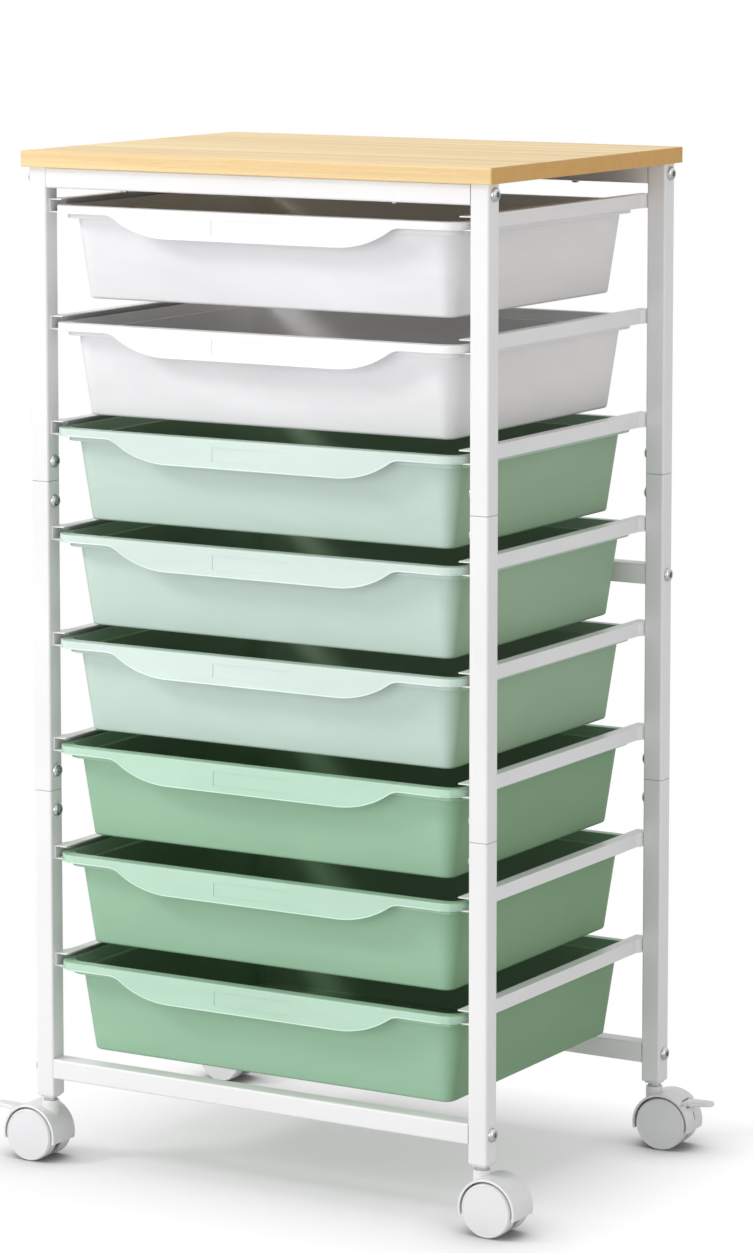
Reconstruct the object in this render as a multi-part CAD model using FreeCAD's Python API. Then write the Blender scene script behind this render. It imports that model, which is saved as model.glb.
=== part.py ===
import FreeCAD, Part
import math
import os

# Rolling cart of eight drawers for 12 x 12 inch (305 mm) paper.
# Millimetres.  X to the right, Y to the rear, Z up.  The origin is on the floor,
# at the middle of the rectangle that the four posts make.

# ---- Frame -----------------------------------------------------------------
frame_width = 510.0          # outside of the left posts to outside of the right posts
frame_depth = 372.0          # outside of the front posts to outside of the rear posts
post_bottom = 66.5           # floor to the lower end of the posts
section_length = 306.0       # each post is three equal tubes, one above the other
tube_size = 20.0             # square tube of the posts and of the cross bars
tube_wall = 1.2
tube_corner = 2.2            # outside corner radius of the tube
tube_end_chamfer = 0.4       # broken edge at each tube end
bottom_bar_height = 94.0     # floor to the middle of the two bottom bars
middle_bar_share = 0.6716    # height of the rear middle bar in the middle section, as a share of it

# ---- Top board -------------------------------------------------------------
board_thickness = 15.5
board_overhang = 6.0
board_corner = 2.0
board_edge = 0.8             # rounding of the long edges

# ---- Rails: C channels of bent sheet, welded to the posts --------------------
rail_sheet = 1.2
rail_height = 13.5
rail_length = 361.0
rail_top_flange = 11.0
rail_bottom_flange = 8.0
rail_joggle = 3.0            # how far the rail stands in from the post between its ends
rail_joggle_run = 5.0
rail_weld_length = 17.5      # the straight end that lies on the post
upper_rail_shares = (0.8565, 0.4856, 0.1507)    # heights of the rail bottoms in each section,
middle_rail_shares = (0.8121, 0.4712, 0.1304)   # as shares of its length
lower_rail_shares = (0.7781, 0.4268)

# ---- Drawers ----------------------------------------------------------------
drawer_wall = 2.2
tub_width = 407.0            # outside, at the bottom of the drawer
tub_front = 163.0            # from the middle of the cart to the tub's front, at its bottom
tub_rear = 152.0
tub_drop = 83.2              # rail bottom to tub bottom
tub_draft = 0.15             # how far the walls lean out, per millimetre of height
tub_corner = 11.0
tub_floor_radius = 3.2
shoulder_drop = 4.8          # rail bottom to the underside of the shoulder
shoulder_gap = 2.0           # between the shoulder and the lips of the rails
shoulder_front = 181.0
shoulder_rear = 170.5
shoulder_corner = 19.0
rim_rise = 7.7               # rail bottom to the top of the rim
rim_side_gap = 1.3           # between the rim and the rail's web, on each side
rim_front = 192.0
rim_rear = 178.0
rim_corner = 25.0
rim_round = 1.2
slide_gap = 0.2              # between the rim's skirt and the rail under it
stop_gap = 0.5               # between the rail's front end and the rim's front skirt
lip_thickness = 2.5
lip_drop = 20.3              # rail bottom to the lower edge of the pull lip
band_rise = 0.3              # rail bottom to the lower edge of the front band
lip_half_top = 162.0         # where the lip leaves the band
lip_half_bottom = 108.5      # where its lower edge becomes straight
lip_small_radius = 14.0
lip_edge = 0.9
label_half_width = 42.5      # shallow recess for a label
label_drop = 13.6
label_depth = 0.5
label_top_margin = 2.5

# ---- Fasteners and connectors -----------------------------------------------
bolt_diameter = 6.0
bolt_head_diameter = 12.0
bolt_head_height = 3.6
bolt_into_bar = 13.0
bolt_socket = 4.0            # across flats
bolt_socket_depth = 2.2
insert_length = 16.0
button_edge = 0.25           # share of a button head's height where its dome starts
button_crown = 0.32          # radius of its flat top, as a share of its diameter
button_bulge = (0.86, 0.72)  # a point of the dome, as shares of the head's radius and height

screw_diameter = 5.0
screw_head_diameter = 9.5
screw_head_height = 3.0
screw_length = 8.0
screw_socket = 3.0
screw_socket_depth = 1.8
screw_offset = 19.5          # from the seam between two sections
sleeve_length = 80.0
sleeve_wall = 1.5
sleeve_inner_corner = 0.5
tube_fit = 0.15              # per side, between a tube and what slides into it
thread_gap = 0.05            # radial, between a screw and the hole that holds it
hole_gap = 0.3               # radial, between a screw and a plain hole
board_screw_diameter = 4.0
board_screw_head_diameter = 8.0
board_screw_head_height = 2.4
board_screw_depth = 10.0     # into the board
board_screw_spacing = 300.0
board_screw_socket = 2.5
board_screw_socket_depth = 1.4

# ---- Casters -----------------------------------------------------------------
wheel_diameter = 52.0
wheel_width = 14.3
wheel_side_gap = 0.4         # between a wheel and the web in the middle
caster_half_width = 20.2     # from the middle of the caster to the wheel's face
caster_trail = 14.3          # swivel axis to wheel axle
axle_diameter = 6.0
axle_press = 0.01
axle_run = 0.06
axle_pocket = 0.8            # how far the axle's bore goes into the wheel's face
axle_end_gap = 0.5
wheel_dome = 0.4             # how far the face bulges
tread_round = 2.4
wheel_rim = 3.0
wheel_hub_diameter = 14.0
wheel_face_thickness = 4.0
hood_gap = 2.0
hood_thickness = 2.2
hood_half_width = 19.0
hood_edge = 0.8
hood_lower_edge = 19.5       # floor to the lower edge of the hood
neck_diameter = 17.0
neck_round = 1.2
neck_top_gap = 0.3
plug_lip = 0.8               # covers the end of the tube
plug_lip_width = 19.2
plug_boss = 2.0              # stands below the lip
plug_boss_width = 15.5
plug_depth = 19.0
stem_thread_diameter = 8.0
stem_thread_length = 17.0
stem_collar_diameter = 13.0
stem_collar_height = 3.2
stem_pin_diameter = 8.0
stem_pin_length = 15.0
stem_pin_gap = 0.06
stem_end_gap = 0.5
brake_angle = 44.0           # degrees above the axle where the lever is hinged
brake_hub_diameter = 5.0
brake_hub_width = 17.0
brake_side_gap = 0.3
brake_rest_gap = 1.2         # between the lever's hub and the tread, brake off
brake_cam = 0.9              # how much further the cam reaches than the hub
brake_cam_round = 1.0
brake_cam_gap = 0.6          # between the cam and the hood around it
brake_press_angle = 15.0     # degrees that the lever goes down
brake_pin_diameter = 2.5
brake_pin_gap = 0.05
brake_lug_thickness = 3.0
brake_lug_radius = 2.8
brake_tab_reach = 50.0       # axle to the tip of the lever
brake_tab_thickness = 4.4
brake_tab_width = 12.0
brake_tab_root = 6.0         # hinge to where the lever starts to narrow
brake_tab_rise = 3.0         # degrees that the lever points up
brake_tab_round = 1.4
brake_slot_drop = 4.0        # room under the hinge for the lever
brake_slit_width = 2.4       # slit in the hood under the lever
brake_slit_bottom = 30.0     # floor to the lower end of the slit
brake_slit_length = 8.0
# swivel angle of each caster, from the side where it trails to the right, and its brake
casters = {"front_left": (180.0, True), "front_right": (0.0, False),
           "rear_right": (4.0, True), "rear_left": (176.0, False)}

# ---- Worked out from the sizes above ------------------------------------------
half_width = frame_width / 2
half_depth = frame_depth / 2
half_tube = tube_size / 2
post_x = half_width - half_tube
post_y = half_depth - half_tube
post_top = post_bottom + 3 * section_length
board_top = post_top + board_thickness
top_bar_height = post_top - half_tube
post_inner_x = half_width - tube_size
web_x = post_inner_x - rail_joggle
top_tip_x = web_x - rail_top_flange
bottom_tip_x = web_x - rail_bottom_flange
rim_half_width = web_x - rail_sheet - rim_side_gap
shoulder_half_width = bottom_tip_x - shoulder_gap
section_bottoms = {"lower": post_bottom, "middle": post_bottom + section_length,
                   "upper": post_bottom + 2 * section_length}
section_shares = {"lower": lower_rail_shares, "middle": middle_rail_shares, "upper": upper_rail_shares}
section_rises = {name: [share * section_length for share in shares]
                 for name, shares in section_shares.items()}
rail_bottoms = [section_bottoms[name] + rise for name in ("upper", "middle", "lower")
                for rise in section_rises[name]]
seams = [post_bottom + section_length, post_bottom + 2 * section_length]
middle_bar_height = section_bottoms["middle"] + middle_bar_share * section_length
tube_bore = tube_size - 2 * tube_wall
wheel_radius = wheel_diameter / 2
hood_inner = wheel_radius + hood_gap
hood_outer = hood_inner + hood_thickness
web_half = caster_half_width - wheel_width - wheel_side_gap
stem_top = post_bottom - plug_lip - plug_boss
neck_top = stem_top - stem_collar_height - neck_top_gap
corners = {"front_left": (-1, -1), "front_right": (1, -1), "rear_right": (1, 1), "rear_left": (-1, 1)}


# ---- Small helpers -------------------------------------------------------------
def vec(x, y, z):
    return FreeCAD.Vector(x, y, z)


def box(x0, x1, y0, y1, z0, z1):
    return Part.makeBox(x1 - x0, y1 - y0, z1 - z0, vec(x0, y0, z0))


def fuse(shapes):
    return shapes[0].multiFuse(shapes[1:]).removeSplitter()


def rounded_wire(x0, x1, y0, y1, radius, z):
    """Rectangle with round corners, flat at height z."""
    edges = []
    centres = ((x1 - radius, y0 + radius, 270), (x1 - radius, y1 - radius, 0),
               (x0 + radius, y1 - radius, 90), (x0 + radius, y0 + radius, 180))
    starts = ((x0 + radius, y0), (x1, y0 + radius), (x1 - radius, y1), (x0, y1 - radius))
    ends = ((x1 - radius, y0), (x1, y1 - radius), (x0 + radius, y1), (x0, y0 + radius))
    for start, end, (cx, cy, angle) in zip(starts, ends, centres):
        edges.append(Part.makeLine(vec(*start, z), vec(*end, z)))
        edges.append(Part.makeCircle(radius, vec(cx, cy, z), vec(0, 0, 1), angle, angle + 90))
    return Part.Wire(edges)


def rounded_prism(x0, x1, y0, y1, radius, z0, z1):
    return Part.Face(rounded_wire(x0, x1, y0, y1, radius, z0)).extrude(vec(0, 0, z1 - z0))


def polygon_prism(points, z0, z1):
    """Straight-sided outline in plan, from z0 up to z1."""
    wire = Part.makePolygon([vec(x, y, z0) for x, y in points + points[:1]])
    return Part.Face(wire).extrude(vec(0, 0, z1 - z0))


def level_edges(shape, z):
    return [e for e in shape.Edges if all(abs(v.Z - z) < 1e-6 for v in e.Vertexes)]


def mirrored(shape):
    return shape.mirror(vec(0, 0, 0), vec(1, 0, 0))


def square_tube(length, chamfer=True):
    """Square tube standing on z = 0, around the Z axis."""
    outer = rounded_prism(-half_tube, half_tube, -half_tube, half_tube, tube_corner, 0, length)
    if chamfer:
        outer = outer.makeChamfer(tube_end_chamfer, level_edges(outer, 0) + level_edges(outer, length))
    bore = tube_bore / 2
    inner = rounded_prism(-bore, bore, -bore, bore, tube_corner - tube_wall, -1, length + 1)
    return outer.cut(inner)


def lay_along_x(shape, x, y, z):
    """Turn a shape that stands on Z so that it points along +X, and put its foot at x, y, z."""
    shape = shape.copy()
    shape.rotate(vec(0, 0, 0), vec(0, 1, 0), 90)
    shape.translate(vec(x, y, z))
    return shape


def export(shape, name):
    shape.exportStep("parts/" + name + ".step")


# ---- Fasteners: each one stands on z = 0 with its head up ------------------------
def button_screw(diameter, head_diameter, head_height, length, socket, socket_depth):
    """Domed head above z = 0 with a hexagon socket, shank below it."""
    half = head_diameter / 2
    edge = button_edge * head_height
    crown = button_crown * head_diameter
    bulge = vec(button_bulge[0] * half, 0, button_bulge[1] * head_height)
    profile = [Part.makeLine(vec(0, 0, -length), vec(diameter / 2, 0, -length)),
               Part.makeLine(vec(diameter / 2, 0, -length), vec(diameter / 2, 0, 0)),
               Part.makeLine(vec(diameter / 2, 0, 0), vec(half, 0, 0)),
               Part.makeLine(vec(half, 0, 0), vec(half, 0, edge)),
               Part.Arc(vec(half, 0, edge), bulge, vec(crown, 0, head_height)).toShape(),
               Part.makeLine(vec(crown, 0, head_height), vec(0, 0, head_height)),
               Part.makeLine(vec(0, 0, head_height), vec(0, 0, -length))]
    body = Part.Face(Part.Wire(profile)).revolve(vec(0, 0, 0), vec(0, 0, 1), 360)
    reach = socket / math.sqrt(3)
    hexagon = [(reach * math.cos(math.radians(a)), reach * math.sin(math.radians(a)))
               for a in range(0, 360, 60)]
    return body.cut(polygon_prism(hexagon, head_height - socket_depth, head_height + 1))


def bar_ends():
    """Side (-1 left, 1 right), Y and height of each cross bar's ends."""
    bars = ((-post_y, top_bar_height), (post_y, top_bar_height), (post_y, middle_bar_height),
            (-post_y, bottom_bar_height), (post_y, bottom_bar_height))
    return [(side, y, z) for y, z in bars for side in (-1, 1)]


# ---- Frame -----------------------------------------------------------------------
def rail_outline(offset):
    """The rail's outer line in plan on the right side, moved inwards by offset."""
    half = rail_length / 2
    straight = half - rail_weld_length
    run = straight - rail_joggle_run
    xs = (post_inner_x, post_inner_x, web_x, web_x, post_inner_x, post_inner_x)
    ys = (-half, -straight, -run, run, straight, half)
    return [(x - offset, y) for x, y in zip(xs, ys)]


def rail(bottom):
    """C channel of the right side, open towards the drawers, with its ends bent out to the posts."""
    line = rail_outline(0)
    half = rail_length / 2
    top = bottom + rail_height
    web = polygon_prism(line + rail_outline(rail_sheet)[::-1], bottom, top)
    upper = polygon_prism(line + [(top_tip_x, half), (top_tip_x, -half)], top - rail_sheet, top)
    lower = polygon_prism(line + [(bottom_tip_x, half), (bottom_tip_x, -half)],
                          bottom, bottom + rail_sheet)
    return fuse([web, upper, lower])


def side_section(name):
    """One welded section of the right side: a front and a rear tube with their rails."""
    bottom = section_bottoms[name]
    pieces = []
    for y in (-post_y, post_y):
        tube = square_tube(section_length)
        tube.translate(vec(post_x, y, bottom))
        pieces.append(tube)
    pieces += [rail(bottom + rise) for rise in section_rises[name]]
    body = fuse(pieces)
    cuts = []
    for side, y, z in bar_ends():
        if side > 0 and bottom < z < bottom + section_length:
            radius = bolt_diameter / 2 + hole_gap
            cuts.append(Part.makeCylinder(radius, tube_size + 2, vec(post_inner_x - 1, y, z), vec(1, 0, 0)))
    for seam in seams:
        for z in (seam - screw_offset, seam + screw_offset):
            if bottom < z < bottom + section_length:
                radius = screw_diameter / 2 + hole_gap
                cuts += [Part.makeCylinder(radius, half_tube, vec(post_inner_x - 1, y, z), vec(1, 0, 0))
                         for y in (-post_y, post_y)]
    return body.cut(Part.makeCompound(cuts))


def cross_bar(y, z, board_screw_holes=False):
    """Square tube between the left and right posts."""
    bar = lay_along_x(square_tube(2 * post_inner_x, chamfer=False), -post_inner_x, y, z)
    if board_screw_holes:
        radius = board_screw_diameter / 2 + hole_gap
        for x in (-board_screw_spacing / 2, board_screw_spacing / 2):
            bar = bar.cut(Part.makeCylinder(radius, tube_size + 2, vec(x, y, z - half_tube - 1)))
    return bar


def bar_insert(side, y, z):
    """Threaded block in the end of a cross bar."""
    half = tube_bore / 2 - tube_fit
    block = rounded_prism(-half, half, -half, half, tube_corner - tube_wall, 0, insert_length)
    block = block.cut(Part.makeCylinder(bolt_diameter / 2 + thread_gap, insert_length + 2, vec(0, 0, -1)))
    x = post_inner_x - insert_length if side > 0 else -post_inner_x
    return lay_along_x(block, x, y, z)


def post_sleeve(x_side, y_side, seam):
    """Square sleeve inside a post, across the seam between two sections."""
    half = tube_bore / 2 - tube_fit
    corner = tube_corner - tube_wall
    low, high = seam - sleeve_length / 2, seam + sleeve_length / 2
    sleeve = rounded_prism(-half, half, -half, half, corner, low, high)
    bore = half - sleeve_wall
    sleeve = sleeve.cut(rounded_prism(-bore, bore, -bore, bore, sleeve_inner_corner, low - 1, high + 1))
    for z in (seam - screw_offset, seam + screw_offset):
        radius = screw_diameter / 2 + thread_gap
        sleeve = sleeve.cut(Part.makeCylinder(radius, half_tube, vec(0, 0, z), vec(-x_side, 0, 0)))
    sleeve.translate(vec(x_side * post_x, y_side * post_y, 0))
    return sleeve


def board():
    """Flat board on the posts and the two top bars, with pilot holes for its screws."""
    x, y = half_width + board_overhang, half_depth + board_overhang
    slab = rounded_prism(-x, x, -y, y, board_corner, post_top, board_top)
    slab = slab.makeFillet(board_edge, level_edges(slab, post_top) + level_edges(slab, board_top))
    depth = board_screw_depth + 1
    for sx in (-board_screw_spacing / 2, board_screw_spacing / 2):
        for sy in (-post_y, post_y):
            hole = Part.makeCylinder(board_screw_diameter / 2 + thread_gap, depth, vec(sx, sy, post_top))
            slab = slab.cut(hole)
    return slab


def make_frame():
    for name in section_bottoms:
        section = side_section(name)
        export(section, "right_side_" + name)
        export(mirrored(section), "left_side_" + name)
    export(cross_bar(-post_y, top_bar_height, True), "front_top_bar")
    export(cross_bar(post_y, top_bar_height, True), "rear_top_bar")
    export(cross_bar(post_y, middle_bar_height), "rear_middle_bar")
    export(cross_bar(-post_y, bottom_bar_height), "front_bottom_bar")
    export(cross_bar(post_y, bottom_bar_height), "rear_bottom_bar")
    export(board(), "top_board")
    for corner, (x_side, y_side) in corners.items():
        for level, seam in zip(("lower", "upper"), seams):
            export(post_sleeve(x_side, y_side, seam), "sleeve_" + corner + "_" + level)


def make_fasteners():
    bolt = button_screw(bolt_diameter, bolt_head_diameter, bolt_head_height,
                        tube_size + bolt_into_bar, bolt_socket, bolt_socket_depth)
    bolts = []
    for side, y, z in bar_ends():
        placed = lay_along_x(bolt, half_width, y, z)
        bolts.append(placed if side > 0 else mirrored(placed))
    export(Part.makeCompound(bolts), "bar_bolts")
    export(Part.makeCompound([bar_insert(*end) for end in bar_ends()]), "bar_end_inserts")

    screw = button_screw(screw_diameter, screw_head_diameter, screw_head_height,
                         screw_length, screw_socket, screw_socket_depth)
    screws = []
    for x_side, y_side in corners.values():
        for seam in seams:
            for z in (seam - screw_offset, seam + screw_offset):
                placed = mirrored(lay_along_x(screw, -post_inner_x, y_side * post_y, z))
                screws.append(mirrored(placed) if x_side < 0 else placed)
    export(Part.makeCompound(screws), "sleeve_screws")

    under_bar = post_top - tube_size
    board_screw = button_screw(board_screw_diameter, board_screw_head_diameter, board_screw_head_height,
                               tube_size + board_screw_depth, board_screw_socket, board_screw_socket_depth)
    board_screw.rotate(vec(0, 0, 0), vec(1, 0, 0), 180)
    board_screws = []
    for x in (-board_screw_spacing / 2, board_screw_spacing / 2):
        for y in (-post_y, post_y):
            placed = board_screw.copy()
            placed.translate(vec(x, y, under_bar))
            board_screws.append(placed)
    export(Part.makeCompound(board_screws), "board_screws")


# ---- Drawers ----------------------------------------------------------------------
def tub_wire(z, bottom, inset):
    """Outline of the tub at height z, moved inwards by inset."""
    lean = tub_draft * (z - bottom)
    x = tub_width / 2 + lean - inset
    return rounded_wire(-x, x, -tub_front - lean + inset, tub_rear + lean - inset,
                        tub_corner + lean - inset, z)


def tub_solid(low, high, bottom, inset, radius):
    """Tapered block with a rounded bottom edge."""
    block = Part.makeLoft([tub_wire(low, bottom, inset), tub_wire(high, bottom, inset)], True, True)
    return block.makeFillet(radius, level_edges(block, low))


def lip_profile(top, band, low):
    """Front view of the pull lip: a band that swells downwards between two S curves."""
    run = lip_half_top - lip_half_bottom
    drop = band - low
    angle = 2 * math.atan2(drop, run)
    large = run / math.sin(angle) - lip_small_radius
    half = rim_half_width - rim_corner

    def at(centre_x, centre_z, radius, direction):
        return vec(centre_x + radius * math.sin(direction), 0, centre_z + radius * math.cos(direction))

    points = []
    small_centre = (lip_half_top, band - lip_small_radius)
    large_centre = (lip_half_bottom, low + large)
    joint = at(*small_centre, lip_small_radius, -angle)
    points.append((vec(lip_half_top, 0, band), at(*small_centre, lip_small_radius, -angle / 2), joint))
    points.append((joint, at(*large_centre, large, math.pi - angle / 2), vec(lip_half_bottom, 0, low)))

    def flip(point):
        return vec(-point.x, point.y, point.z)

    edges = [Part.makeLine(vec(-half, 0, top), vec(half, 0, top)),
             Part.makeLine(vec(half, 0, top), vec(half, 0, band)),
             Part.makeLine(vec(half, 0, band), vec(lip_half_top, 0, band))]
    edges += [Part.Arc(*arc).toShape() for arc in points]
    edges.append(Part.makeLine(vec(lip_half_bottom, 0, low), vec(-lip_half_bottom, 0, low)))
    edges += [Part.Arc(*[flip(p) for p in arc[::-1]]).toShape() for arc in points[::-1]]
    edges += [Part.makeLine(vec(-lip_half_top, 0, band), vec(-half, 0, band)),
              Part.makeLine(vec(-half, 0, band), vec(-half, 0, top))]
    return Part.Wire(edges)


def pull_lip(top, band, low):
    plate = Part.Face(lip_profile(top, band, low)).extrude(vec(0, lip_thickness, 0))
    plate.translate(vec(0, -rim_front, 0))
    half = rim_half_width - rim_corner
    lower_edges = [e for e in plate.Edges
                   if all(v.Z < band + 0.01 and abs(v.X) < half - 0.01 for v in e.Vertexes)
                   and abs(e.Vertexes[0].Y - e.Vertexes[-1].Y) < 0.01]
    plate = plate.makeFillet(lip_edge, lower_edges)
    recess = box(-label_half_width, label_half_width, -rim_front - 1, -rim_front + label_depth,
                 band - band_rise - label_drop, top - label_top_margin)
    return plate.cut(recess)


def drawer(rail_bottom):
    """Tray with sloping walls, a shoulder, a hooked rim that rides on the rails and a pull lip."""
    bottom = rail_bottom - tub_drop
    shoulder = rail_bottom - shoulder_drop
    top = rail_bottom + rim_rise
    band = rail_bottom + band_rise
    rest = rail_bottom + rail_sheet + slide_gap
    t = drawer_wall

    tub = tub_solid(bottom, shoulder + t / 2, bottom, 0, tub_floor_radius)
    x = shoulder_half_width
    collar = rounded_prism(-x, x, -shoulder_front, shoulder_rear, shoulder_corner, shoulder, top)
    x = rim_half_width
    rim = rounded_prism(-x, x, -rim_front, rim_rear, rim_corner, top - t, top)
    rim = rim.makeFillet(rim_round, level_edges(rim, top))
    skirt = rounded_prism(-x, x, -rim_front, rim_rear, rim_corner, rest, top - t / 2)
    skirt = skirt.cut(rounded_prism(-x + t, x - t, -rim_front + t, rim_rear - t, rim_corner - t,
                                    rest - 1, top))
    front_skirt = rounded_prism(-x, x, -rim_front, rim_rear, rim_corner, band, rest + 1)
    front_skirt = front_skirt.cut(rounded_prism(-x + t, x - t, -rim_front + t, rim_rear - t,
                                                rim_corner - t, band - 1, rest + 2))
    stop = -rail_length / 2 - stop_gap
    front_skirt = front_skirt.common(box(-x - 1, x + 1, -rim_front - 1, stop, band - 1, rest + 2))
    lip = pull_lip(top - t / 2, band, rail_bottom - lip_drop)
    body = fuse([tub, collar, rim, skirt, front_skirt, lip])

    hollow = tub_solid(bottom + t, shoulder + t, bottom, t, tub_floor_radius - t)
    x = shoulder_half_width - t
    upper_hollow = rounded_prism(-x, x, -shoulder_front + t, shoulder_rear - t, shoulder_corner - t,
                                 shoulder + t, top + 1)
    return body.cut(hollow).cut(upper_hollow)


def make_drawers():
    for number, rail_bottom in enumerate(rail_bottoms, start=1):
        export(drawer(rail_bottom), "drawer_" + str(number))


# ---- Casters: built with the swivel axis on Z, trailing towards +X -------------------
def across(radius, y0, y1, x=caster_trail, z=wheel_radius):
    """Cylinder along Y, around the axle unless x and z say otherwise."""
    return Part.makeCylinder(radius, y1 - y0, vec(x, y0, z), vec(0, 1, 0))


def wheel():
    """Front wheel of the pair: closed domed face outside, hollow towards the middle."""
    face = caster_half_width
    inner = caster_half_width - wheel_width
    r = wheel_radius
    bore = axle_diameter / 2 + axle_run
    hub = wheel_hub_diameter / 2
    rim = r - wheel_rim
    floor = face - wheel_face_thickness

    def at(radius, y):
        return vec(caster_trail + radius, -y, wheel_radius)

    middle = at(0, face)
    edge = at(r - tread_round, face - wheel_dome)
    bulge = at((r - tread_round) / 2, face - wheel_dome / 4)
    tread = at(r, face - wheel_dome - tread_round)
    inset = tread_round * (1 - math.sqrt(0.5))
    shoulder = at(r - inset, face - wheel_dome - inset)
    corners = [tread, at(r, inner + 1), at(r - 1, inner), at(rim, inner), at(rim, floor), at(hub, floor),
               at(hub, inner), at(bore, inner), at(bore, floor + axle_pocket), at(0, floor + axle_pocket),
               middle]
    edges = [Part.makeLine(p, q) for p, q in zip(corners, corners[1:])]
    edges += [Part.Arc(middle, bulge, edge).toShape(), Part.Arc(edge, shoulder, tread).toShape()]
    return Part.Face(Part.Wire(edges)).revolve(at(0, 0), vec(0, 1, 0), 360)


def brake_pivot():
    """X and Z of the lever's hinge."""
    reach = wheel_radius + brake_rest_gap + brake_hub_diameter / 2
    angle = math.radians(brake_angle)
    return caster_trail + reach * math.cos(angle), wheel_radius + reach * math.sin(angle)


def caster_housing(braked):
    """Hood over both wheels, a web between them and a neck around the stem."""
    w = hood_half_width
    far = 3 * wheel_radius
    hood = across(hood_outer, -w, w)
    hood = hood.makeFillet(hood_edge, [e for e in hood.Edges if e.Curve.TypeId == "Part::GeomCircle"])
    neck = Part.makeCylinder(neck_diameter / 2, neck_top - wheel_radius, vec(0, 0, wheel_radius))
    neck = neck.makeFillet(neck_round, level_edges(neck, neck_top))
    wells = [across(hood_inner, -w - far, -web_half), across(hood_inner, web_half, w + far)]
    below = box(-far, far, -far, far, -far, hood_lower_edge)
    body = fuse([hood, neck]).cut(Part.makeCompound(wells)).cut(below)
    pieces = [body, across(axle_diameter, -web_half, web_half)]

    px, pz = brake_pivot()
    inside = brake_hub_width / 2 + brake_side_gap
    outside = inside + brake_lug_thickness
    if braked:
        pieces += [across(brake_lug_radius, inside, outside, px, pz),
                   across(brake_lug_radius, -outside, -inside, px, pz)]
    body = fuse(pieces)
    bore_depth = stem_pin_length + stem_end_gap
    cuts = [across(axle_diameter / 2 + axle_press, -far, far),
            Part.makeCylinder(stem_pin_diameter / 2 + stem_pin_gap, far, vec(0, 0, neck_top - bore_depth))]
    if braked:
        room = brake_hub_diameter / 2 + brake_cam + brake_cam_gap
        cuts += [across(room, -inside, inside, px, pz),
                 box(px, px + far, -inside, inside, pz - brake_slot_drop, pz + brake_tab_thickness),
                 box(caster_trail + hood_inner / 2, caster_trail + far, -brake_slit_width / 2,
                     brake_slit_width / 2, brake_slit_bottom, brake_slit_bottom + brake_slit_length),
                 across(brake_pin_diameter / 2 + brake_pin_gap, -far, far, px, pz)]
    for cut in cuts:
        body = body.cut(cut)
    return body


def brake_lever():
    """Hinged lever: a tab to step on, a hub and a cam that grips both treads."""
    px, pz = brake_pivot()
    half = brake_hub_width / 2
    hub = across(brake_hub_diameter / 2, -half, half, px, pz)
    pin_half = half + brake_side_gap + brake_lug_thickness
    pins = across(brake_pin_diameter / 2, -pin_half, pin_half, px, pz)
    # the cam points at the axle once the lever is down
    angle = math.radians(180 + brake_angle + brake_press_angle)
    reach = brake_hub_diameter / 2 + brake_cam - brake_cam_round
    cam = across(brake_cam_round, -half, half, px + reach * math.cos(angle), pz + reach * math.sin(angle))

    root = px + brake_tab_root
    end = brake_tab_width / 2
    toe_x = caster_trail + brake_tab_reach - end
    low, high = pz - brake_tab_thickness / 2, pz + brake_tab_thickness / 2
    outline = [(px, -half), (root, -half), (toe_x, -end), (toe_x, end), (root, half), (px, half)]
    toe = Part.makeCylinder(end, brake_tab_thickness, vec(toe_x, 0, low))
    tab = fuse([polygon_prism(outline, low, high), toe])
    flat = level_edges(tab, low) + level_edges(tab, high)
    tab = tab.makeFillet(brake_tab_round, [e for e in flat if e.BoundBox.XMin > root - 0.1])
    tab.rotate(vec(px, 0, pz), vec(0, 1, 0), -brake_tab_rise)
    return fuse([hub, pins, cam, tab])


def caster_stem():
    """Threaded into the plug of the post, with a collar and a plain pin for the caster to turn on."""
    thread = Part.makeCylinder(stem_thread_diameter / 2, stem_thread_length, vec(0, 0, stem_top))
    collar = Part.makeCylinder(stem_collar_diameter / 2, stem_collar_height,
                               vec(0, 0, stem_top - stem_collar_height))
    pin_length = stem_pin_length + stem_collar_height + neck_top_gap
    pin = Part.makeCylinder(stem_pin_diameter / 2, pin_length, vec(0, 0, stem_top - pin_length))
    return fuse([thread, collar, pin])


def square_block(width, radius, z0, z1):
    half = width / 2
    return rounded_prism(-half, half, -half, half, radius, z0, z1)


def post_plug():
    """Plastic plug in the foot of a post, threaded for the stem."""
    lip = post_bottom - plug_lip
    body = square_block(tube_bore - 2 * tube_fit, tube_corner - tube_wall, lip, post_bottom + plug_depth)
    flange = square_block(plug_lip_width, tube_corner, lip, post_bottom)
    boss = square_block(plug_boss_width, tube_corner, stem_top, post_bottom)
    plug = fuse([body, flange, boss])
    bore = Part.makeCylinder(stem_thread_diameter / 2 + thread_gap, stem_thread_length + 1,
                             vec(0, 0, stem_top))
    return plug.cut(bore)


def make_casters():
    front_wheel = wheel()
    rear_wheel = front_wheel.mirror(vec(0, 0, 0), vec(0, 1, 0))
    axle_half = caster_half_width - wheel_face_thickness + axle_pocket - axle_end_gap
    axle = across(axle_diameter / 2, -axle_half, axle_half)
    for corner, (angle, braked) in casters.items():
        x_side, y_side = corners[corner]
        turned = {"housing": caster_housing(braked), "axle": axle, "wheel_a": front_wheel,
                  "wheel_b": rear_wheel}
        if braked:
            turned["brake_lever"] = brake_lever()
        fixed = {"stem": caster_stem()}
        for group, turn in ((turned, angle), (fixed, 0.0)):
            for piece, shape in group.items():
                placed = shape.copy()
                placed.rotate(vec(0, 0, 0), vec(0, 0, 1), turn)
                placed.translate(vec(x_side * post_x, y_side * post_y, 0))
                export(placed, "caster_" + corner + "_" + piece)
        plug = post_plug()
        plug.translate(vec(x_side * post_x, y_side * post_y, 0))
        export(plug, "post_plug_" + corner)


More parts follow.
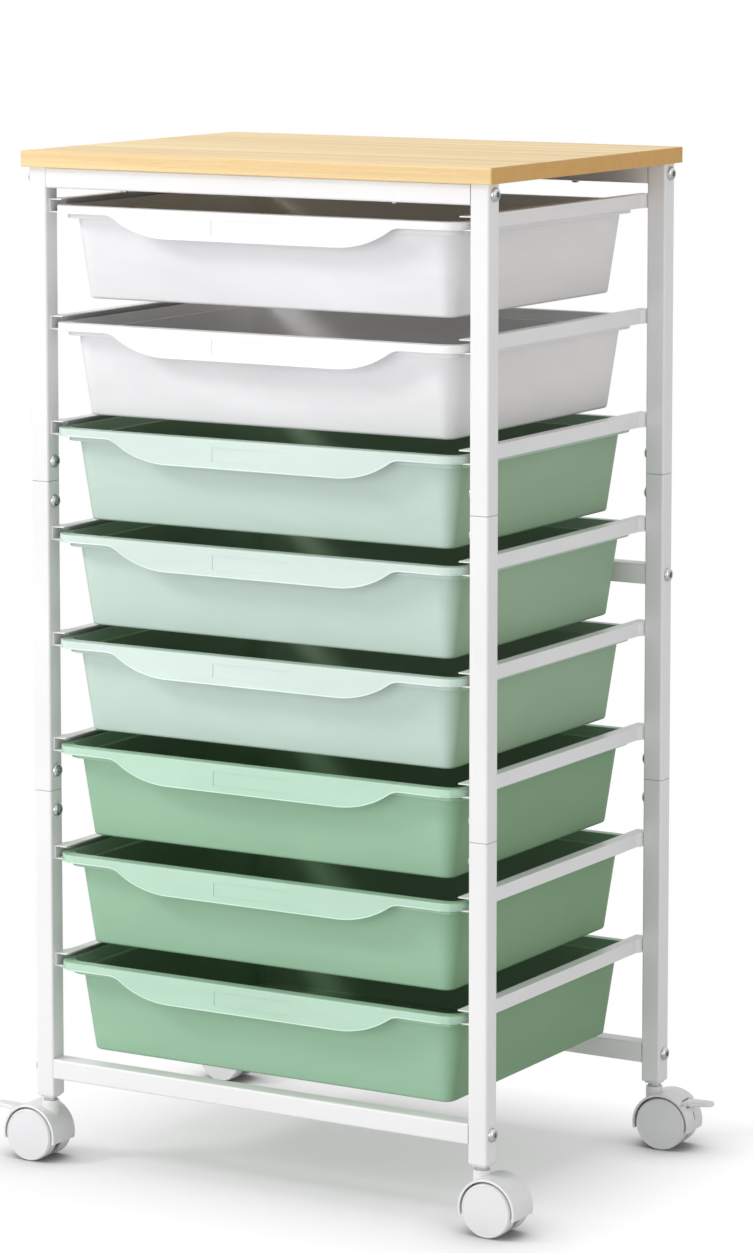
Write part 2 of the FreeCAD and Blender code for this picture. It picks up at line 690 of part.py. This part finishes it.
os.makedirs("parts", exist_ok=True)
make_frame()
make_fasteners()
make_drawers()
make_casters()
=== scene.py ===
"""The looks of a rolling drawer cart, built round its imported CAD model.

Everything is in metres, in the model's own frame: +X right, +Y back, +Z up, floor at z = 0.
"""
import math

import bmesh
import bpy
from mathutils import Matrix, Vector


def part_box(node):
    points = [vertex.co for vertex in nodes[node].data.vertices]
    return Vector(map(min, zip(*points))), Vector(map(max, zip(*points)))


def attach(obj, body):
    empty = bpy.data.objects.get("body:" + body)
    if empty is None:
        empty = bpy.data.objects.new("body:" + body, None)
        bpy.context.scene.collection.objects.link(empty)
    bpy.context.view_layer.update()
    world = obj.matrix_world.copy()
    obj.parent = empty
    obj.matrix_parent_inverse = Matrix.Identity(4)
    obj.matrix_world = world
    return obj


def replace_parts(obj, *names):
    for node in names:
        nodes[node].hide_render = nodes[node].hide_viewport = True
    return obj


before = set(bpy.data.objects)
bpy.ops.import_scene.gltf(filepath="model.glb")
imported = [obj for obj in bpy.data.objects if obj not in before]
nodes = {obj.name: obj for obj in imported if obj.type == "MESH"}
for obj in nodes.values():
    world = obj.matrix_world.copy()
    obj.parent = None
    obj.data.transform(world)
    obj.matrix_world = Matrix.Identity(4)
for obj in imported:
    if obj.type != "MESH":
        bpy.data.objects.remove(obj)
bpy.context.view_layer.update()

drawer_slots = 2 * ["drawer_white"] + 3 * ["drawer_mint"] + 3 * ["drawer_green"]    # from the top down
corner_names = ("front_left", "front_right", "rear_right", "rear_left")

# places on a drawer, from the model, in the drawers' shared plan
rim_low, rim_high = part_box("drawer_1")
lip_front = rim_low.y
lip_back = lip_front + 0.0025
tub_front = lip_front + 0.029
rim_wall_front = lip_front + 0.0132      # inner edge of the rim's flat top
rim_wall_rear = rim_high.y - 0.0097
rim_wall_side = rim_high.x - 0.0097

# where the drawers' tones change, along Y: from the front's own tone to painted shade, painted light on the
# lip, a painted highlight on its edge
front_tone_end = tub_front + 0.013
front_tone_full = tub_front + 0.003
lip_light_tone_end = lip_back + 0.0012
edge_highlight_start = lip_front - 0.00005
edge_highlight_full = lip_front - 0.0003
tone_blur = 0.0005

# where the sections of the posts meet
seams = [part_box("left_side_lower")[1].z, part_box("left_side_upper")[0].z]
seam_shadow_half_width = 0.00035                # of the painted shadow line in the gap there
seam_shadow_blur = 0.0001

# the pull lip, seen from the front
rim_rise = 0.0077                        # rail to the top of the rim
band_rise = 0.0003                       # rail to the lower edge of the front band
lip_drop = 0.0203                        # rail to the lower edge of the lip
lip_half_bottom = 0.1085                 # from the middle to the foot of the lip's curve, in the solid
lip_half_top = 0.162                     # and to its top
lip_small_radius = 0.014
lip_edge_round = 0.0009
rim_corner = 0.025
bead_radius = 0.0007                     # the rolled edge of the lip
bead_end = math.radians(48)              # how far it goes round the rim's corner
lip_curve_steps = 12
rim_corner_steps = 8

# the curves of the real lip, which are longer than the solid's
curve_bottom = 0.0945
curve_top = 0.1645
still_inside = 0.084                     # nothing nearer to the middle moves
still_outside = 0.185                    # and nothing further out
slack = 0.0002                           # for telling which points lie on the lip

# the bolts of the frame
post_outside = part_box("right_side_lower")[1].x
post_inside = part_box("front_top_bar")[1].x
joint_bolt_offset = 0.0195               # from the seam
joint_bolt_length = 0.008
joint_bolt_shank = 0.0025                # radius
bar_bolt_length = 0.038
bar_bolt_shank = 0.003
bolt_radius = 0.0068
bolt_height = 0.0040
bolt_edge = 0.0008                       # straight rim under the dome
bolt_crown = 0.0036                      # radius of the flat top
bolt_socket = 0.0025                     # middle to a flat
bolt_socket_depth = 0.0026
bolt_sides = 48
bolt_dome_steps = 6
bolt_sharp_angle = math.radians(40)

# the raised ring on the face of each wheel
ring_radius = 0.0243
ring_half_width = 0.0006
ring_height = 0.00028
ring_root = 0.0004                       # how far it reaches into the face
ring_steps = 96
ring_arch_steps = 6
wheel_dome_radius = 0.026
wheel_dome_fall = 0.0004                 # the face's middle to its edge

# the floor, the light and the view
white = (1.0, 1.0, 1.0)
floor_half = 30.0
# slightly magenta: a painted correction that cancels the green light the drawers bounce onto the floor
floor_tone = (0.872, 0.853, 0.872)
contact_shadow_tone = (0.45, 0.45, 0.45)        # painted contact shadow, where something stands on the floor
contact_reach = 0.06
contact_dark = 0.40                      # how open the floor is at a contact
contact_clear = 0.97                     # and away from one
shadow_half_x = 0.30                     # about half the size of the shadow
shadow_half_y = 0.25
shadow_full = 0.65                       # the share of that size up to which the shadow is whole
shadow_gone = 1.2                        # and from which the floor looks white
shadow_white = 0.36                      # how white the floor looks within the shadow
world_light = 0.58
world_seen = 1.0
lamps = {
    "overhead": {"at": (-0.5, -0.2, 2.7), "towards": (0.0, 0.0, 0.0), "size": (2.4, 2.4), "watts": 12.0},
    "front": {"at": (-0.7, -3.9, 1.1), "towards": (0.0, 0.0, 0.5), "size": (3.2, 2.2), "watts": 45.5},
    "right": {"at": (3.4, -0.6, 1.2), "towards": (0.0, 0.0, 0.5), "size": (2.4, 2.4), "watts": 16.0},
    "left": {"at": (-2.3, -1.9, 2.5), "towards": (0.0, -0.2, 0.5), "size": (0.75, 0.75), "watts": 42.0},
}
camera_place = (2.3217, -3.8723, 1.2663)
camera_turn = math.radians(30.666)       # left of straight back
camera_tilt = math.radians(6.795)        # down
camera_lens = 133.4
camera_sensor = 36.0
camera_shift = -0.16
camera_near = 0.1
camera_far = 100.0

# ---------------------------------------------------------------- node help


class Nodes:
    """Short ways to add to a node tree."""

    def __init__(self, tree):
        self.tree = tree

    def add(self, kind, **properties):
        node = self.tree.nodes.new(kind)
        for key, value in properties.items():
            setattr(node, key, value)
        return node

    def link(self, output, socket):
        self.tree.links.new(output, socket)

    def set(self, socket, value):
        """value, a number, colour or another node's output, goes into socket."""
        if isinstance(value, bpy.types.NodeSocket):
            self.link(value, socket)
        else:
            socket.default_value = value

    def math(self, operation, a, b=0.0):
        node = self.add("ShaderNodeMath", operation=operation)
        self.set(node.inputs[0], a)
        self.set(node.inputs[1], b)
        return node.outputs["Value"]

    def between(self, value, low, high, at_low=0.0, at_high=1.0):
        """value, taken from low..high to at_low..at_high, and held at the ends."""
        node = self.add("ShaderNodeMapRange")
        self.set(node.inputs["Value"], value)
        sockets = ("From Min", "From Max", "To Min", "To Max")
        for socket, number in zip(sockets, (low, high, at_low, at_high)):
            node.inputs[socket].default_value = number
        return node.outputs["Result"]


class Shader(Nodes):
    """A material with a Principled shader."""

    def __init__(self, name, **values):
        self.material = bpy.data.materials.new(name)
        self.material.use_nodes = True
        super().__init__(self.material.node_tree)
        self.surface = self.tree.nodes["Principled BSDF"]
        for socket, value in values.items():
            self.surface.inputs[socket.replace("_", " ")].default_value = value
        coordinates = self.add("ShaderNodeTexCoord")
        self.position = coordinates.outputs["Object"]
        self.normal = coordinates.outputs["Normal"]

    def axis(self, name):
        """How far along an axis of the piece, in metres."""
        node = self.add("ShaderNodeSeparateXYZ")
        self.link(self.position, node.inputs["Vector"])
        return node.outputs[name]

    def facing(self, name):
        """How far the surface faces along an axis of the piece, from -1 to 1."""
        node = self.add("ShaderNodeSeparateXYZ")
        self.link(self.normal, node.inputs["Vector"])
        return node.outputs[name]

    def stretched(self, scale):
        """The position, stretched by scale along each axis."""
        node = self.add("ShaderNodeMapping")
        self.link(self.position, node.inputs["Vector"])
        node.inputs["Scale"].default_value = scale
        return node.outputs["Vector"]

    def noise(self, scale, detail=2.0, roughness=0.5, vector=None, distortion=0.0):
        node = self.add("ShaderNodeTexNoise")
        self.link(vector or self.position, node.inputs["Vector"])
        node.inputs["Scale"].default_value = scale
        node.inputs["Detail"].default_value = detail
        node.inputs["Roughness"].default_value = roughness
        node.inputs["Distortion"].default_value = distortion
        return node.outputs["Fac"]

    def mix(self, share, a, b, blend="MIX"):
        node = self.add("ShaderNodeMix", data_type="RGBA", blend_type=blend)
        self.set(node.inputs["Factor"], share)
        self.set(node.inputs["A"], colour(a) if isinstance(a, tuple) else a)
        self.set(node.inputs["B"], colour(b) if isinstance(b, tuple) else b)
        return node.outputs["Result"]

    def grey(self, value):
        node = self.add("ShaderNodeCombineColor")
        for channel in ("Red", "Green", "Blue"):
            self.link(value, node.inputs[channel])
        return node.outputs["Color"]

    def bump(self, height, depth, strength, under=None):
        """depth is how far a height of 1 stands up, in metres."""
        node = self.add("ShaderNodeBump")
        node.inputs["Strength"].default_value = strength
        node.inputs["Distance"].default_value = depth
        self.link(height, node.inputs["Height"])
        if under is not None:
            self.link(under, node.inputs["Normal"])
        return node.outputs["Normal"]

    def finish(self, tone, roughness, normal):
        self.link(tone, self.surface.inputs["Base Color"])
        self.link(roughness, self.surface.inputs["Roughness"])
        self.link(normal, self.surface.inputs["Normal"])
        return self.material


def colour(rgb):
    return (*rgb, 1.0)


def darker(rgb, share):
    return tuple(share * channel for channel in rgb)


# ---------------------------------------------------------------- materials


def laminate():
    """Pale beech laminate: straight grain along X, short pores, a satin seal; the ends are darkened as
    painted shade.
    """
    golden, pale = (0.775, 0.57, 0.28), (0.875, 0.68, 0.375)
    band_brown, fibre_pale = (0.655, 0.43, 0.19), (0.875, 0.70, 0.45)
    pore_brown, end_shade_brown = (0.50, 0.32, 0.14), (0.62, 0.33, 0.08)
    s = Shader("beech_laminate", Specular_IOR_Level=0.3)
    planks = s.noise(1.0, detail=1.0, vector=s.stretched((0.5, 22.0, 22.0)))
    bands = s.noise(1.0, detail=3.0, roughness=0.55, vector=s.stretched((1.6, 95.0, 95.0)), distortion=0.35)
    fibres = s.noise(1.0, detail=4.0, roughness=0.6, vector=s.stretched((9.0, 800.0, 800.0)))
    pores = s.noise(1.0, detail=1.0, vector=s.stretched((60.0, 1700.0, 1700.0)))
    tone = s.mix(s.between(planks, 0.36, 0.64), golden, pale)
    tone = s.mix(s.math("MULTIPLY", s.between(bands, 0.45, 0.62), 0.45), tone, band_brown)
    tone = s.mix(s.math("MULTIPLY", s.between(fibres, 0.5, 0.72), 0.30), tone, fibre_pale)
    tone = s.mix(s.math("MULTIPLY", s.between(pores, 0.63, 0.72), 0.30), tone, pore_brown)
    # painted shade: faces across X take a darker brown, as the board's ends lie in shade
    end = s.math("ABSOLUTE", s.facing("X"))
    tone = s.mix(s.between(end, 0.55, 0.9, 0.0, 0.85), tone, end_shade_brown)
    normal = s.bump(fibres, depth=0.00012, strength=0.25)
    normal = s.bump(pores, depth=0.0001, strength=0.2, under=normal)
    return s.finish(tone, s.between(bands, 0.3, 0.7, 0.42, 0.56), normal)


def powder_coat():
    """White powder coat on steel tube: a slight orange peel, uneven gloss, and a painted shadow line in the
    gap at each seam.
    """
    s = Shader("white_powder_coat", Specular_IOR_Level=0.5)
    peel = s.noise(620.0, detail=2.0, roughness=0.45)
    cloud = s.noise(7.0, detail=2.0)
    tone = s.mix(s.between(cloud, 0.35, 0.65), (0.77, 0.77, 0.77), (0.80, 0.80, 0.798))
    height = s.axis("Z")
    # painted shadow: a dark line in the gap at each seam, where the sections meet
    for seam in seams:
        away = s.math("ABSOLUTE", s.math("SUBTRACT", height, seam))
        line = s.between(away, seam_shadow_half_width + seam_shadow_blur, seam_shadow_half_width - seam_shadow_blur, 0.0, 0.75)
        tone = s.mix(line, tone, (0.22, 0.22, 0.22))
    normal = s.bump(peel, depth=0.0001, strength=0.16)
    return s.finish(tone, s.between(peel, 0.3, 0.7, 0.30, 0.40), normal)


def moulded(name, body, roughness):
    """Satin moulded plastic; roughness is its lowest and highest."""
    s = Shader(name, Specular_IOR_Level=0.5)
    grain = s.noise(1500.0, detail=2.0, roughness=0.6)
    flow = s.noise(1.0, detail=3.0, roughness=0.55, vector=s.stretched((5.0, 5.0, 16.0)), distortion=0.6)
    tone = s.mix(s.between(flow, 0.32, 0.68), darker(body, 0.955), body)
    normal = s.bump(grain, depth=0.00005, strength=0.14)
    return s.finish(tone, s.between(flow, 0.3, 0.7, *roughness), normal)


def drawer_plastic(name, painted_shade_tone, front, lip, edge):
    """Satin plastic with painted light and shade: a darker tone painted as shade on the tub's sides and
    inside, its own tone on the front, paler tones painted as light on the rim and the thin lip, and a painted
    highlight on the lip's edge.
    """
    s = Shader(name, Specular_IOR_Level=0.28)
    grain = s.noise(1300.0, detail=2.0, roughness=0.6)
    flow = s.noise(1.0, detail=3.0, roughness=0.55, vector=s.stretched((4.0, 4.0, 14.0)), distortion=0.7)
    wave = s.noise(11.0, detail=1.0)
    depth = s.axis("Y")
    # painted shade: every face but the front takes the darker first tone, on the sides and inside
    forward = s.between(s.facing("Y"), -0.35, -0.9)
    near_front = s.between(depth, front_tone_end, front_tone_full)
    tone = s.mix(s.math("MULTIPLY", near_front, forward), painted_shade_tone, front)
    # painted light: the rim's flat top takes part of the lip's paler tone
    sideways = s.math("ABSOLUTE", s.axis("X"))
    side = s.between(sideways, rim_wall_side - tone_blur, rim_wall_side + tone_blur)
    rear = s.between(depth, rim_wall_rear - tone_blur, rim_wall_rear + tone_blur)
    fore = s.between(depth, rim_wall_front + tone_blur, rim_wall_front - tone_blur)
    rim = s.math("MAXIMUM", s.math("MAXIMUM", side, rear), fore)
    tone = s.mix(s.math("MULTIPLY", rim, 0.6), tone, lip)
    # painted light: the thin lip is paler than the tub
    tone = s.mix(s.between(depth, lip_light_tone_end, lip_back), tone, lip)
    # painted highlight: the lip's rolled edge, in front of its face, is palest
    tone = s.mix(s.between(depth, edge_highlight_start, edge_highlight_full), tone, edge)
    streak = s.between(flow, 0.30, 0.70, 0.93, 1.03)
    tone = s.mix(1.0, tone, s.grey(streak), blend="MULTIPLY")
    normal = s.bump(grain, depth=0.00005, strength=0.12)
    normal = s.bump(wave, depth=0.004, strength=0.05, under=normal)
    return s.finish(tone, s.between(flow, 0.3, 0.7, 0.36, 0.48), normal)


def metal(name, tone, roughness):
    """Plated or plain metal with fine marks; roughness is its lowest and highest."""
    s = Shader(name, Metallic=1.0)
    marks = s.noise(900.0, detail=3.0, roughness=0.65)
    cloud = s.noise(90.0, detail=2.0)
    worn = s.mix(s.between(cloud, 0.35, 0.65), darker(tone, 0.82), tone)
    normal = s.bump(marks, depth=0.00006, strength=0.1)
    return s.finish(worn, s.between(marks, 0.3, 0.7, *roughness), normal)


finishes = {
    "board": laminate(),
    "frame_paint": powder_coat(),
    "plain_steel": metal("plain_steel", (0.26, 0.26, 0.27), (0.4, 0.55)),
    "zinc": metal("bright_zinc", (0.65, 0.66, 0.67), (0.16, 0.26)),
    "die_cast": metal("die_cast_zinc", (0.42, 0.42, 0.43), (0.4, 0.55)),
    # per drawer colour: the first tone is painted shade on the tub, front its own colour, lip painted light
    # on rim and lip, edge a painted highlight
    "drawer_white": drawer_plastic(
        "white_drawer_plastic",
        painted_shade_tone=(0.755, 0.75, 0.735),
        front=(0.78, 0.78, 0.79),
        lip=(0.85, 0.85, 0.855),
        edge=(0.88, 0.88, 0.88),
    ),
    "drawer_mint": drawer_plastic(
        "mint_drawer_plastic",
        painted_shade_tone=(0.29, 0.43, 0.28),
        front=(0.54, 0.67, 0.60),
        lip=(0.62, 0.74, 0.68),
        edge=(0.76, 0.86, 0.81),
    ),
    "drawer_green": drawer_plastic(
        "green_drawer_plastic",
        painted_shade_tone=(0.205, 0.355, 0.20),
        front=(0.31, 0.51, 0.35),
        lip=(0.46, 0.665, 0.525),
        edge=(0.62, 0.80, 0.68),
    ),
    "caster_plastic": moulded("caster_plastic", (0.79, 0.79, 0.79), (0.26, 0.36)),
    "wheel_plastic": moulded("wheel_plastic", (0.77, 0.77, 0.78), (0.30, 0.42)),
    "plug_plastic": moulded("plug_plastic", (0.74, 0.74, 0.74), (0.4, 0.5)),
}

for node in nodes.values():
    for place in node.material_slots:
        place.material = finishes[place.material.name.split(".")[0]]

# ---------------------------------------------------------------- shape help


def add_piece(name, shape, body, slot):
    """A piece with the given mesh or curve, which moves with body and has the finish of slot."""
    piece = bpy.data.objects.new(name, shape)
    bpy.context.scene.collection.objects.link(piece)
    shape.materials.append(finishes[slot])
    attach(piece, body)
    return piece


def arc(stop, steps):
    """Angles from 0 to stop, both among them."""
    return [stop * step / steps for step in range(steps + 1)]


def whole_turn(steps):
    """Angles all the way round, each once."""
    return arc(2 * math.pi, steps)[:-1]


def skin(shape, rows):
    """Faces between each closed row of points and the next."""
    for row, after in zip(rows, rows[1:]):
        for k in range(len(row)):
            n = (k + 1) % len(row)
            shape.faces.new((row[k], after[k], after[n], row[n]))


def smooth_mesh(name, shape):
    """The finished mesh of a bmesh."""
    bmesh.ops.recalc_face_normals(shape, faces=shape.faces)
    mesh = bpy.data.meshes.new(name)
    shape.to_mesh(mesh)
    shape.free()
    mesh.shade_smooth()
    return mesh


def middle_of(name):
    """The middle of a node's box."""
    low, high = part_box(name)
    return (low + high) / 2


# ---------------------------------------------------------------- wheels


def turned_ring(name, centre, axis, profile):
    """A closed ring: profile, (radius, height along axis) pairs, turned round axis through centre."""
    shape = bmesh.new()
    turn = axis.to_track_quat("Z", "Y").to_matrix()
    rows = []
    for angle in whole_turn(ring_steps):
        places = [Vector((r * math.cos(angle), r * math.sin(angle), h)) for r, h in profile]
        rows.append([shape.verts.new(centre + turn @ place) for place in places])
    skin(shape, rows + rows[:1])
    return smooth_mesh(name, shape)


def wheel_ring(corner, side, axle_middle):
    """The ring on one wheel. Casters stand askew, so the face is found from the wheel's own points."""
    node = f"caster_{corner}_wheel_{side}"
    name = f"wheel_ring_{corner}_{side}"
    centre = middle_of(node)
    outward = centre - axle_middle
    outward.z = 0.0
    outward.normalize()
    face = max((v.co - centre).dot(outward) for v in nodes[node].data.vertices)
    face -= wheel_dome_fall * (ring_radius / wheel_dome_radius) ** 2
    profile = [(ring_radius + ring_half_width * math.cos(a), ring_height * math.sin(a))
               for a in arc(math.pi, ring_arch_steps)]
    profile += [(ring_radius - ring_half_width, -ring_root), (ring_radius + ring_half_width, -ring_root)]
    mesh = turned_ring(name, centre + outward * face, outward, profile)
    add_piece(name, mesh, f"wheel_{corner}_{side}", "wheel_plastic")


def wheel_rings():
    """The raised ring on the face of every wheel."""
    for corner in corner_names:
        axle_middle = sum((middle_of(f"caster_{corner}_wheel_{side}") for side in "ab"), Vector()) / 2
        for side in "ab":
            wheel_ring(corner, side, axle_middle)


# ---------------------------------------------------------------- bolts


def bolt_rings(length, shank):
    """Rings of a button-head bolt from its tip to the floor of its socket: radius, height, hexagonal."""
    dome = bolt_radius - bolt_crown
    rise = bolt_height - bolt_edge
    rings = [(shank, -length, False), (shank, 0.0, False), (bolt_radius, 0.0, False)]
    rings += [(bolt_crown + dome * math.cos(a), bolt_edge + rise * math.sin(a), False)
              for a in arc(math.pi / 2, bolt_dome_steps)]
    rings += [(bolt_socket, bolt_height, True), (bolt_socket, bolt_height - bolt_socket_depth, True)]
    return rings


def hexagon_reach(angle):
    """How far a hexagon's edge lies towards angle, where the middle of a flat lies at 1."""
    sixth = math.pi / 3
    return 1 / math.cos((angle + sixth / 2) % sixth - sixth / 2)


def bolt_ring(shape, centre, side, radius, height, hexagonal):
    """One ring of a bolt's points."""
    row = []
    for angle in whole_turn(bolt_sides):
        reach = radius * hexagon_reach(angle) if hexagonal else radius
        place = Vector((side * height, reach * math.cos(angle), reach * math.sin(angle)))
        row.append(shape.verts.new(centre + place))
    return row


def bolts(name, replaced, seats, length, shank):
    """Button-head bolts; seats are the middle under each head and the way it looks, -1 or 1 along X."""
    shape = bmesh.new()
    for centre, side in seats:
        rows = [bolt_ring(shape, centre, side, *ring) for ring in bolt_rings(length, shank)]
        skin(shape, rows)
        shape.faces.new(rows[0])
        shape.faces.new(rows[-1])
    mesh = smooth_mesh(name, shape)
    mesh.set_sharp_from_angle(angle=bolt_sharp_angle)
    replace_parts(add_piece(name, mesh, "frame", "zinc"), replaced)


def bar_bolts():
    """The bolts that hold the cross bars, in the posts' outer faces."""
    seats = []
    for bar in ("front_top_bar", "rear_top_bar", "rear_middle_bar", "front_bottom_bar", "rear_bottom_bar"):
        middle = middle_of(bar)
        seats += [(Vector((side * post_outside, middle.y, middle.z)), side) for side in (-1, 1)]
    bolts("bar_bolt_set", "bar_bolts", seats, bar_bolt_length, bar_bolt_shank)


def joint_bolts():
    """The bolts over and under each seam, in the posts' inner faces."""
    seats = []
    for corner in corner_names:
        sleeve = middle_of(f"sleeve_{corner}_lower")
        side = -1 if sleeve.x > 0 else 1
        for seam in seams:
            seats += [(Vector((-side * post_inside, sleeve.y, seam + step)), side)
                      for step in (-joint_bolt_offset, joint_bolt_offset)]
    bolts("joint_bolt_set", "sleeve_screws", seats, joint_bolt_length, joint_bolt_shank)


# ---------------------------------------------------------------- drawers


def rail_height(number):
    """The height of the rails that carry a drawer."""
    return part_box(f"drawer_{number}")[1].z - rim_rise


def drawn_out(x):
    """Where a point of the lip's lower edge goes along X, so that the curves at the lip's ends are longer."""
    solid = (still_inside, lip_half_bottom, lip_half_top, still_outside)
    real = (still_inside, curve_bottom, curve_top, still_outside)
    for start, stop, new_start, new_stop in zip(solid, solid[1:], real, real[1:]):
        if start < abs(x) <= stop:
            reach = new_start + (abs(x) - start) * (new_stop - new_start) / (stop - start)
            return math.copysign(reach, x)
    return x


def drawer_shells():
    """Each drawer, with longer curves at the ends of its pull lip."""
    for number, slot in enumerate(drawer_slots, start=1):
        name = f"drawer_{number}"
        above_edge = rail_height(number) + band_rise + lip_edge_round + slack
        mesh = nodes[name].data.copy()
        mesh.name = f"{name}_shell"
        for vertex in mesh.vertices:
            if vertex.co.y < lip_back + slack and vertex.co.z < above_edge:
                vertex.co.x = drawn_out(vertex.co.x)
        mesh.materials.clear()
        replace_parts(add_piece(f"{name}_shell", mesh, name, slot), name)


def lip_edge_line(rail):
    """Points along the lower edge of a drawer's lip and band, from its middle to round its right corner."""
    band = rail + band_rise
    low = rail - lip_drop
    run = lip_half_top - lip_half_bottom
    turn = 2 * math.atan((band - low) / run)
    large_radius = run / math.sin(turn) - lip_small_radius
    inner = large_radius - bead_radius
    outer = lip_small_radius + bead_radius
    line = [(0.0, low + bead_radius)]
    line += [(lip_half_bottom + inner * math.sin(a), low + large_radius - inner * math.cos(a))
             for a in arc(turn, lip_curve_steps)]
    line += [(lip_half_top - outer * math.sin(a), band - lip_small_radius + outer * math.cos(a))
             for a in reversed(arc(turn, lip_curve_steps))]
    points = [(drawn_out(x), lip_front, z) for x, z in line]
    corner_x = rim_high.x - rim_corner
    corner_y = lip_front + rim_corner
    for angle in arc(bead_end, rim_corner_steps):
        x = corner_x + rim_corner * math.sin(angle)
        y = corner_y - rim_corner * math.cos(angle)
        points.append((x, y, band + bead_radius))
    return points


def lip_beads():
    """The rolled edge along the foot of each drawer's pull lip."""
    for number, slot in enumerate(drawer_slots, start=1):
        name = f"drawer_{number}_lip_bead"
        right = lip_edge_line(rail_height(number))
        points = [(-x, y, z) for x, y, z in reversed(right)] + right[1:]
        line = bpy.data.curves.new(name, "CURVE")
        line.dimensions = "3D"
        line.bevel_depth = bead_radius
        line.bevel_resolution = 3
        line.use_fill_caps = True
        spline = line.splines.new("POLY")
        spline.points.add(len(points) - 1)
        for point, place in zip(spline.points, points):
            point.co = (*place, 1.0)
        spline.use_smooth = True
        # the bead takes the drawer's edge tone, a painted highlight
        add_piece(name, line, f"drawer_{number}", slot)


wheel_rings()
bar_bolts()
joint_bolts()
drawer_shells()
lip_beads()

# ---------------------------------------------------------------- stage


def area_lamp(name, at, towards, size, watts):
    """A soft rectangular lamp."""
    data = bpy.data.lights.new(name, "AREA")
    data.shape = "RECTANGLE"
    data.size, data.size_y = size
    data.energy = watts
    lamp = bpy.data.objects.new(name, data)
    lamp.location = at
    lamp.rotation_euler = (Vector(towards) - Vector(at)).to_track_quat("-Z", "Y").to_euler()
    bpy.context.scene.collection.objects.link(lamp)


def floor_finish():
    """A pale matt floor, seen as white away from the object's shadow and from what stands on it, with a
    painted contact shadow darkening its colour near what stands on it.
    """
    s = Shader("pale_floor", Roughness=0.9, Specular_IOR_Level=0.1)
    # painted contact shadow: the floor's colour darkens and its glow fades near what stands on it
    nearby = s.add("ShaderNodeAmbientOcclusion", samples=8)
    nearby.inputs["Distance"].default_value = contact_reach
    clear = s.between(nearby.outputs["AO"], contact_dark, contact_clear)
    s.link(s.mix(clear, contact_shadow_tone, floor_tone), s.surface.inputs["Base Color"])
    across = s.math("ABSOLUTE", s.math("MULTIPLY", s.axis("X"), 1 / shadow_half_x))
    back = s.math("ABSOLUTE", s.math("MULTIPLY", s.axis("Y"), 1 / shadow_half_y))
    away = s.math("MAXIMUM", across, back)
    open_floor = s.between(away, shadow_full, shadow_gone, shadow_white, 1.0)
    seen = s.add("ShaderNodeLightPath").outputs["Is Camera Ray"]
    glow = s.add("ShaderNodeEmission")
    glow.inputs["Color"].default_value = colour(white)
    glow.inputs["Strength"].default_value = 1.0
    blend = s.add("ShaderNodeMixShader")
    s.link(s.math("MULTIPLY", s.math("MULTIPLY", open_floor, clear), seen), blend.inputs["Fac"])
    s.link(s.surface.outputs["BSDF"], blend.inputs[1])
    s.link(glow.outputs["Emission"], blend.inputs[2])
    s.link(blend.outputs["Shader"], s.tree.nodes["Material Output"].inputs["Surface"])
    return s.material


def make_floor():
    """A wide flat floor at z = 0."""
    far = floor_half
    mesh = bpy.data.meshes.new("floor")
    mesh.from_pydata([(-far, -far, 0), (far, -far, 0), (far, far, 0), (-far, far, 0)], [], [(0, 1, 2, 3)])
    mesh.materials.append(floor_finish())
    floor = bpy.data.objects.new("floor", mesh)
    bpy.context.scene.collection.objects.link(floor)


def make_world():
    """Even white light, which looks a full white to the camera, in gloss and through glass."""
    world = bpy.data.worlds.new("studio")
    world.use_nodes = True
    world.node_tree.nodes.clear()
    w = Nodes(world.node_tree)
    rays = w.add("ShaderNodeLightPath").outputs
    direct = w.math("MAXIMUM", rays["Is Camera Ray"], rays["Is Transmission Ray"])
    seen = w.math("MAXIMUM", direct, rays["Is Glossy Ray"])
    background = w.add("ShaderNodeBackground")
    background.inputs["Color"].default_value = colour(white)
    w.link(w.between(seen, 0.0, 1.0, world_light, world_seen), background.inputs["Strength"])
    output = w.add("ShaderNodeOutputWorld")
    w.link(background.outputs["Background"], output.inputs["Surface"])
    bpy.context.scene.world = world


def make_camera():
    """A long lens, well off to the front and right, a little above the board."""
    level = math.cos(camera_tilt)
    ahead = Vector((-math.sin(camera_turn) * level, math.cos(camera_turn) * level, -math.sin(camera_tilt)))
    data = bpy.data.cameras.new("camera")
    data.sensor_fit = "AUTO"
    data.sensor_width = camera_sensor
    data.lens = camera_lens
    data.shift_y = camera_shift
    data.clip_start = camera_near
    data.clip_end = camera_far
    camera = bpy.data.objects.new("camera", data)
    camera.location = camera_place
    camera.rotation_euler = ahead.to_track_quat("-Z", "Y").to_euler()
    bpy.context.scene.collection.objects.link(camera)
    bpy.context.scene.camera = camera


make_floor()
make_world()
for name, lamp in lamps.items():
    area_lamp(name, **lamp)
make_camera()
bpy.context.scene.view_settings.view_transform = "Standard"
